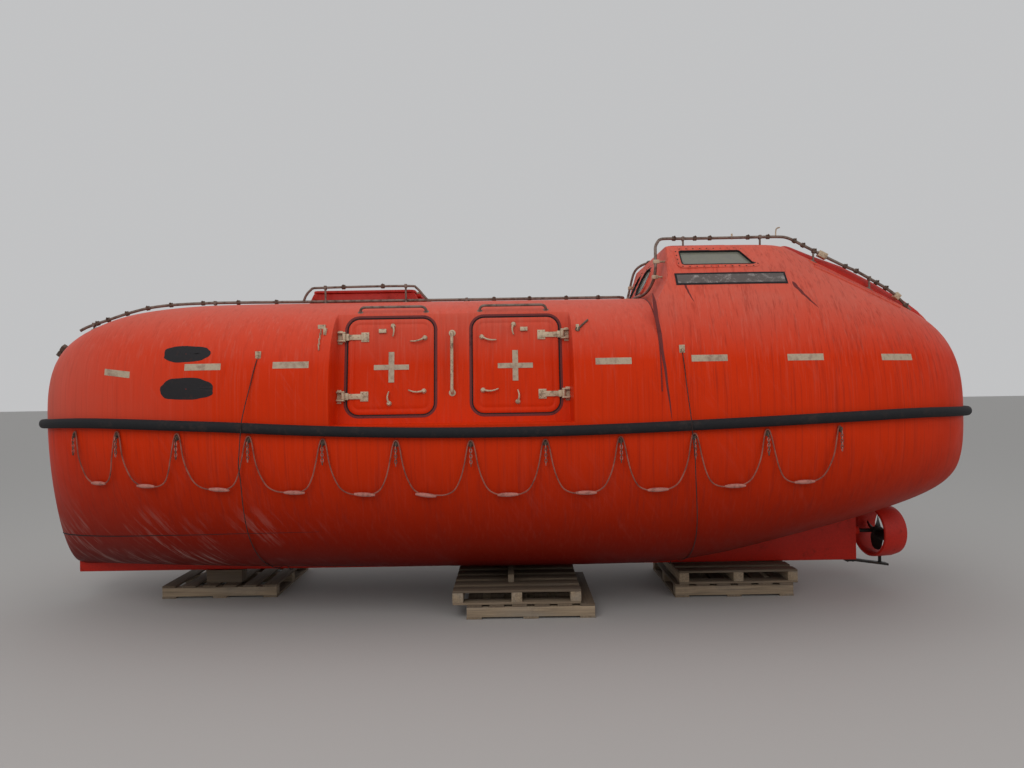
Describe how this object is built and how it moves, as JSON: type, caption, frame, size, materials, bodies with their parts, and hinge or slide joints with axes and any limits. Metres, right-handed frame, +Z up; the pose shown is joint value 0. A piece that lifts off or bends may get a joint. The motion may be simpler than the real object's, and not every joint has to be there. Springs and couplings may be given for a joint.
{
  "type": "lifeboat",
  "caption": "Totally enclosed lifeboat on pallets: closed hull and canopy, hinged side doors and hatches, raised steering position, fender, steering nozzle and propeller.",
  "frame": {"origin": "centre of the footprint, on the ground under the pallets", "axes": "+X towards the stern, -X the bow, -Y port, +Y starboard, +Z up"},
  "size_m": [8.6329, 3.0506, 3.2787],
  "materials": {
    "gelcoat": "weathered orange-red gelcoat on glass-fibre laminate",
    "gelcoat_dark": "deep red weathered gelcoat",
    "rubber": "matt black rubber",
    "steel": "weathered beige-grey paint over steel",
    "pipe": "dull brown-grey tube",
    "bronze": "dark oxidised bronze",
    "glass": "dusty clear pane",
    "rope": "dark weathered fibre rope",
    "wood": "grey-brown weathered pine",
    "cushion": "dark red covering",
    "machine": "grey-blue paint"
  },
  "bodies": {
    "boat": {"hull": "gelcoat", "canopy_fore": "gelcoat", "canopy_aft": "gelcoat", "fender": "rubber", "keel_skeg": "gelcoat_dark", "heel_bar": "bronze", "stem_eye": "bronze", "hinge_plate_port_fore": "steel", "grab_hoop_port_fore": "steel", "spray_pipe_fore_port": "pipe", "hinge_plate_port_aft": "steel", "grab_hoop_port_aft": "steel", "spray_pipe_aft_port": "pipe", "grab_bar_port": "steel", "bow_bitts_port": "steel", "side_window_port": "glass", "front_window_port": "glass", "bench_port": "cushion", "grab_line_port": "rope", "hinge_plate_starboard_fore": "steel", "grab_hoop_starboard_fore": "steel", "spray_pipe_fore_starboard": "pipe", "hinge_plate_starboard_aft": "steel", "grab_hoop_starboard_aft": "steel", "spray_pipe_aft_starboard": "pipe", "grab_bar_starboard": "steel", "bow_bitts_starboard": "steel", "side_window_starboard": "glass", "front_window_starboard": "glass", "bench_starboard": "cushion", "grab_line_starboard": "rope", "securing_line_fore": "rope", "securing_line_aft": "rope", "lifting_hook_fore": "steel", "lifting_hook_aft": "steel", "engine": "machine", "helm_console": "machine", "helm_seat": "cushion", "pallet_fore": "wood", "pallet_middle_low": "wood", "pallet_middle_top": "wood", "pallet_aft_low": "wood", "pallet_aft_top": "wood", "bow_block": "wood", "middle_timber": "wood"},
    "port_fore_door": {"door_port_fore": "gelcoat"},
    "port_aft_door": {"door_port_aft": "gelcoat"},
    "starboard_fore_door": {"door_starboard_fore": "gelcoat"},
    "starboard_aft_door": {"door_starboard_aft": "gelcoat"},
    "fore_hatch": {"fore_hatch_lid": "gelcoat_dark"},
    "roof_hatch": {"roof_hatch_lid": "gelcoat_dark"},
    "nozzle": {"steering_nozzle": "gelcoat_dark"},
    "screw": {"propeller": "bronze"}
  },
  "joints": [
    {"name": "port_fore_door_hinge", "type": "hinge", "parent": "boat", "child": "port_fore_door", "pos_m": [-1.292, -1.2761, 1.7533], "axis": [0, -0.1608, -0.987], "range_deg": [0, 100]},
    {"name": "port_aft_door_hinge", "type": "hinge", "parent": "boat", "child": "port_aft_door", "pos_m": [0.486, -1.2761, 1.7533], "axis": [0, 0.1608, 0.987], "range_deg": [0, 100]},
    {"name": "starboard_fore_door_hinge", "type": "hinge", "parent": "boat", "child": "starboard_fore_door", "pos_m": [-1.292, 1.2761, 1.7533], "axis": [0, -0.1608, 0.987], "range_deg": [0, 100]},
    {"name": "starboard_aft_door_hinge", "type": "hinge", "parent": "boat", "child": "starboard_aft_door", "pos_m": [0.486, 1.2761, 1.7533], "axis": [0, 0.1608, -0.987], "range_deg": [0, 100]},
    {"name": "fore_hatch_hinge", "type": "hinge", "parent": "boat", "child": "fore_hatch", "pos_m": [-0.783, 0, 2.854], "axis": [0, 1, 0], "range_deg": [0, 100]},
    {"name": "roof_hatch_hinge", "type": "hinge", "parent": "boat", "child": "roof_hatch", "pos_m": [2.136, 0, 3.227], "axis": [0, 1, 0], "range_deg": [0, 100]},
    {"name": "nozzle_steering", "type": "hinge", "parent": "boat", "child": "nozzle", "pos_m": [3.62, 0, 0.513], "axis": [0, 0, 1], "range_deg": [-47, 23]},
    {"name": "propeller_shaft", "type": "hinge", "parent": "boat", "child": "screw", "pos_m": [3.6, 0, 0.513], "axis": [1, 0, 0], "continuous": true}
  ]
}
